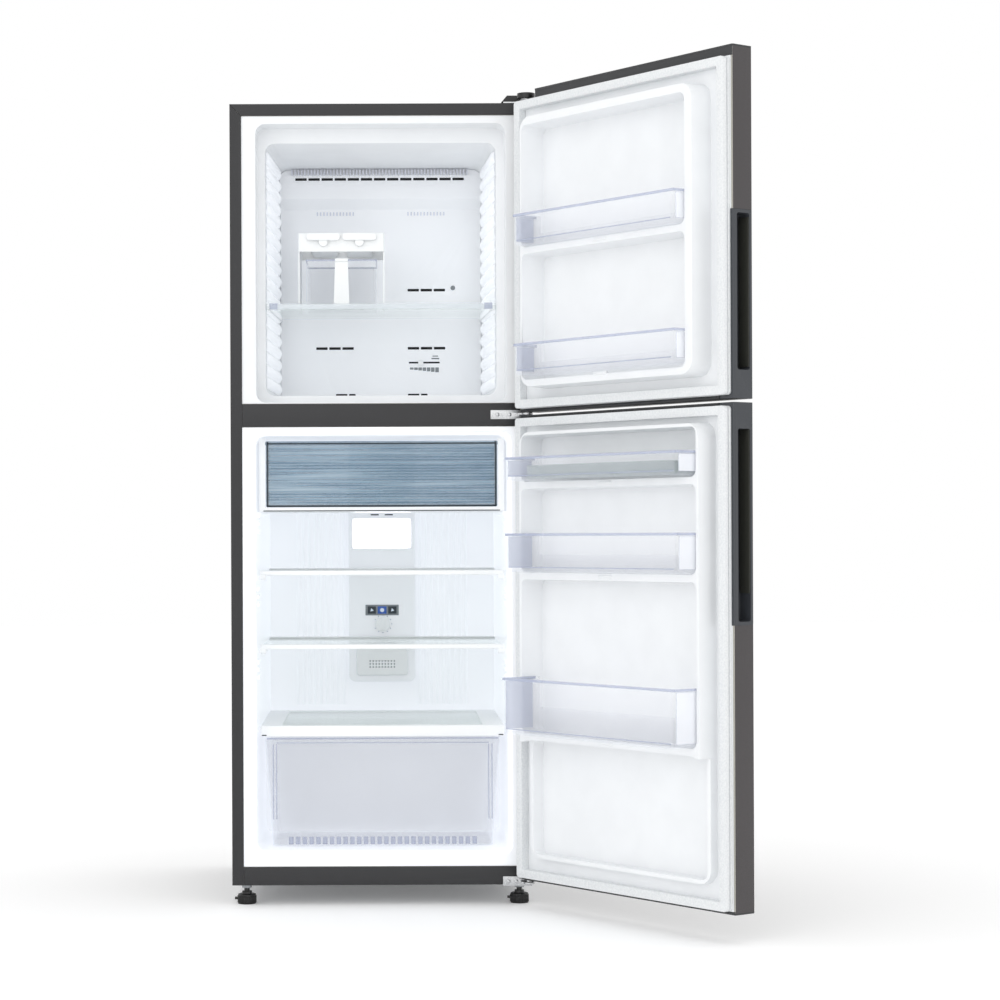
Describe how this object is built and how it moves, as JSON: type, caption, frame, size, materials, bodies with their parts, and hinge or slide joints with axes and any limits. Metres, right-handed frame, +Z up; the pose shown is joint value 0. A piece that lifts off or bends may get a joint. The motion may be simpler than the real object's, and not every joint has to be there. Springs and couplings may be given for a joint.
{
  "type": "top freezer refrigerator",
  "caption": "Tall cabinet with a freezer over a cooling compartment, hinged doors with lift-off bins, glass shelves, a crisper drawer and a twist-tray ice maker.",
  "frame": {"origin": "on the floor under the middle of the front edge of the case", "axes": "+Z up, +Y from the front to the back of the case, +X to the hinge side as seen from the front"},
  "size_m": [0.8779, 1.0199, 1.463],
  "materials": {
    "case_paint": "fine textured enamel",
    "door_paint": "satin enamel",
    "bare_steel": "galvanised sheet",
    "hinge_steel": "zinc plated",
    "compressor_paint": "black enamel",
    "foam": "rigid foam, stands in",
    "liner_white": "vacuum-formed sheet",
    "cover_white": "moulded",
    "trim_white": "moulded",
    "grip_grey": "moulded",
    "cap_grey": "moulded",
    "black_plastic": "moulded",
    "gasket_grey": "soft extrusion with magnets inside",
    "gland_rubber": "moulded",
    "shelf_glass": "tempered",
    "clear_plastic": "clear moulding",
    "flap_blue": "tinted clear moulding",
    "lens_white": "frosted",
    "coil_aluminium": "mill",
    "ice_grey": "moulded"
  },
  "bodies": {
    "cabinet": {"left_side_panel": "case_paint", "right_side_panel": "case_paint", "top_panel": "case_paint", "back_panel": "bare_steel", "base_plate": "bare_steel", "bottom_rail": "case_paint", "center_rail": "case_paint", "cabinet_foam": "foam", "freezer_liner": "liner_white", "fridge_liner": "liner_white", "evaporator_cover": "cover_white", "evaporator": "coil_aluminium", "fan_motor": "black_plastic", "fridge_duct": "cover_white", "lamp_lens": "lens_white", "ion_unit_cover": "trim_white", "chiller_shelf": "trim_white", "crisper_cover_frame": "trim_white", "crisper_cover_glass": "shelf_glass", "top_hinge": "hinge_steel", "top_hinge_cover": "black_plastic", "mid_hinge": "hinge_steel", "bottom_hinge": "hinge_steel", "compressor": "compressor_paint", "cord_gland": "gland_rubber"},
    "freezer_shelf": {"freezer_shelf": "trim_white", "ice_maker_frame": "trim_white"},
    "fan_wheel": {"fan_wheel": "black_plastic"},
    "freezer_control_slider": {"freezer_control_slider": "trim_white"},
    "temp_knob": {"temp_knob": "trim_white"},
    "chiller_flap": {"chiller_flap": "flap_blue"},
    "upper_shelf": {"upper_shelf_glass": "shelf_glass", "upper_shelf_trim": "trim_white"},
    "lower_shelf": {"lower_shelf_glass": "shelf_glass", "lower_shelf_trim": "trim_white"},
    "crisper_drawer": {"crisper_drawer": "clear_plastic"},
    "ice_tray_left": {"ice_tray_left": "ice_grey"},
    "ice_tray_right": {"ice_tray_right": "ice_grey"},
    "ice_bin": {"ice_bin": "clear_plastic"},
    "foot_left": {"foot_left": "black_plastic"},
    "foot_right": {"foot_right": "black_plastic"},
    "rear_rollers": {"rear_rollers": "black_plastic"},
    "freezer_bin_upper": {"freezer_bin_upper": "clear_plastic"},
    "freezer_bin_lower": {"freezer_bin_lower": "clear_plastic"},
    "fridge_bin_top": {"fridge_bin_top": "clear_plastic", "egg_tray": "clear_plastic"},
    "fridge_bin_middle": {"fridge_bin_middle": "clear_plastic"},
    "fridge_bin_bottom": {"fridge_bin_bottom": "clear_plastic"},
    "freezer_door": {"freezer_door_skin": "door_paint", "freezer_door_caps": "cap_grey", "freezer_door_liner": "liner_white", "freezer_door_grip": "grip_grey", "freezer_door_foam": "foam", "freezer_door_gasket": "gasket_grey"},
    "fridge_door": {"fridge_door_skin": "door_paint", "fridge_door_caps": "cap_grey", "fridge_door_liner": "liner_white", "fridge_door_grip": "grip_grey", "fridge_door_foam": "foam", "fridge_door_gasket": "gasket_grey"}
  },
  "joints": [
    {"name": "freezer_door_hinge", "type": "hinge", "parent": "cabinet", "child": "freezer_door", "pos_m": [0.262, -0.0271, 1.175], "axis": [0, 0, 1], "range_deg": [-126.3, 7]},
    {"name": "fridge_door_hinge", "type": "hinge", "parent": "cabinet", "child": "fridge_door", "pos_m": [0.262, -0.0271, 0.465], "axis": [0, 0, 1], "range_deg": [-126.3, 7]},
    {"name": "freezer_shelf_slide", "type": "slide", "parent": "cabinet", "child": "freezer_shelf", "axis": [0, -1, 0], "range_m": [0, 0.25]},
    {"name": "upper_shelf_slide", "type": "slide", "parent": "cabinet", "child": "upper_shelf", "axis": [0, -1, 0], "range_m": [0, 0.15]},
    {"name": "lower_shelf_slide", "type": "slide", "parent": "cabinet", "child": "lower_shelf", "axis": [0, -1, 0], "range_m": [0, 0.15]},
    {"name": "crisper_slide", "type": "slide", "parent": "cabinet", "child": "crisper_drawer", "axis": [0, -1, 0], "range_m": [0, 0.22]},
    {"name": "chiller_flap_hinge", "type": "hinge", "parent": "cabinet", "child": "chiller_flap", "pos_m": [0, 0.072, 0.83704], "axis": [1, 0, 0], "range_deg": [0, 85]},
    {"name": "freezer_control_slide", "type": "slide", "parent": "cabinet", "child": "freezer_control_slider", "axis": [1, 0, 0], "range_m": [-0.019, 0.033]},
    {"name": "temp_knob_turn", "type": "hinge", "parent": "cabinet", "child": "temp_knob", "pos_m": [0.0015, 0.44, 0.49189], "axis": [0, 1, 0], "range_deg": [-120, 120]},
    {"name": "ice_tray_left_twist", "type": "hinge", "parent": "freezer_shelf", "child": "ice_tray_left", "pos_m": [-0.1065, 0.19, 1.21147], "axis": [0, 1, 0], "range_deg": [0, 135]},
    {"name": "ice_tray_right_twist", "type": "hinge", "parent": "freezer_shelf", "child": "ice_tray_right", "pos_m": [-0.0395, 0.19, 1.21147], "axis": [0, 1, 0], "range_deg": [0, 135]},
    {"name": "ice_bin_slide", "type": "slide", "parent": "freezer_shelf", "child": "ice_bin", "axis": [0, -1, 0], "range_m": [0, 0.2]},
    {"name": "freezer_bin_upper_lift", "type": "slide", "parent": "freezer_door", "child": "freezer_bin_upper", "axis": [0, 0, 1], "range_m": [0, 0.06]},
    {"name": "freezer_bin_lower_lift", "type": "slide", "parent": "freezer_door", "child": "freezer_bin_lower", "axis": [0, 0, 1], "range_m": [0, 0.06]},
    {"name": "fridge_bin_top_lift", "type": "slide", "parent": "fridge_door", "child": "fridge_bin_top", "axis": [0, 0, 1], "range_m": [0, 0.03]},
    {"name": "fridge_bin_middle_lift", "type": "slide", "parent": "fridge_door", "child": "fridge_bin_middle", "axis": [0, 0, 1], "range_m": [0, 0.06]},
    {"name": "fridge_bin_bottom_lift", "type": "slide", "parent": "fridge_door", "child": "fridge_bin_bottom", "axis": [0, 0, 1], "range_m": [0, 0.06]},
    {"name": "fan_spin", "type": "hinge", "parent": "cabinet", "child": "fan_wheel", "pos_m": [0, 0.406, 1.20854], "axis": [0, 1, 0], "continuous": true},
    {"name": "foot_left_turn", "type": "hinge", "parent": "cabinet", "child": "foot_left", "pos_m": [-0.2475, 0.027, 0.018], "axis": [0, 0, 1], "continuous": true},
    {"name": "foot_right_turn", "type": "hinge", "parent": "cabinet", "child": "foot_right", "pos_m": [0.2475, 0.027, 0.018], "axis": [0, 0, 1], "continuous": true},
    {"name": "rear_rollers_roll", "type": "hinge", "parent": "cabinet", "child": "rear_rollers", "pos_m": [0, 0.508, 0.012], "axis": [1, 0, 0], "continuous": true}
  ]
}
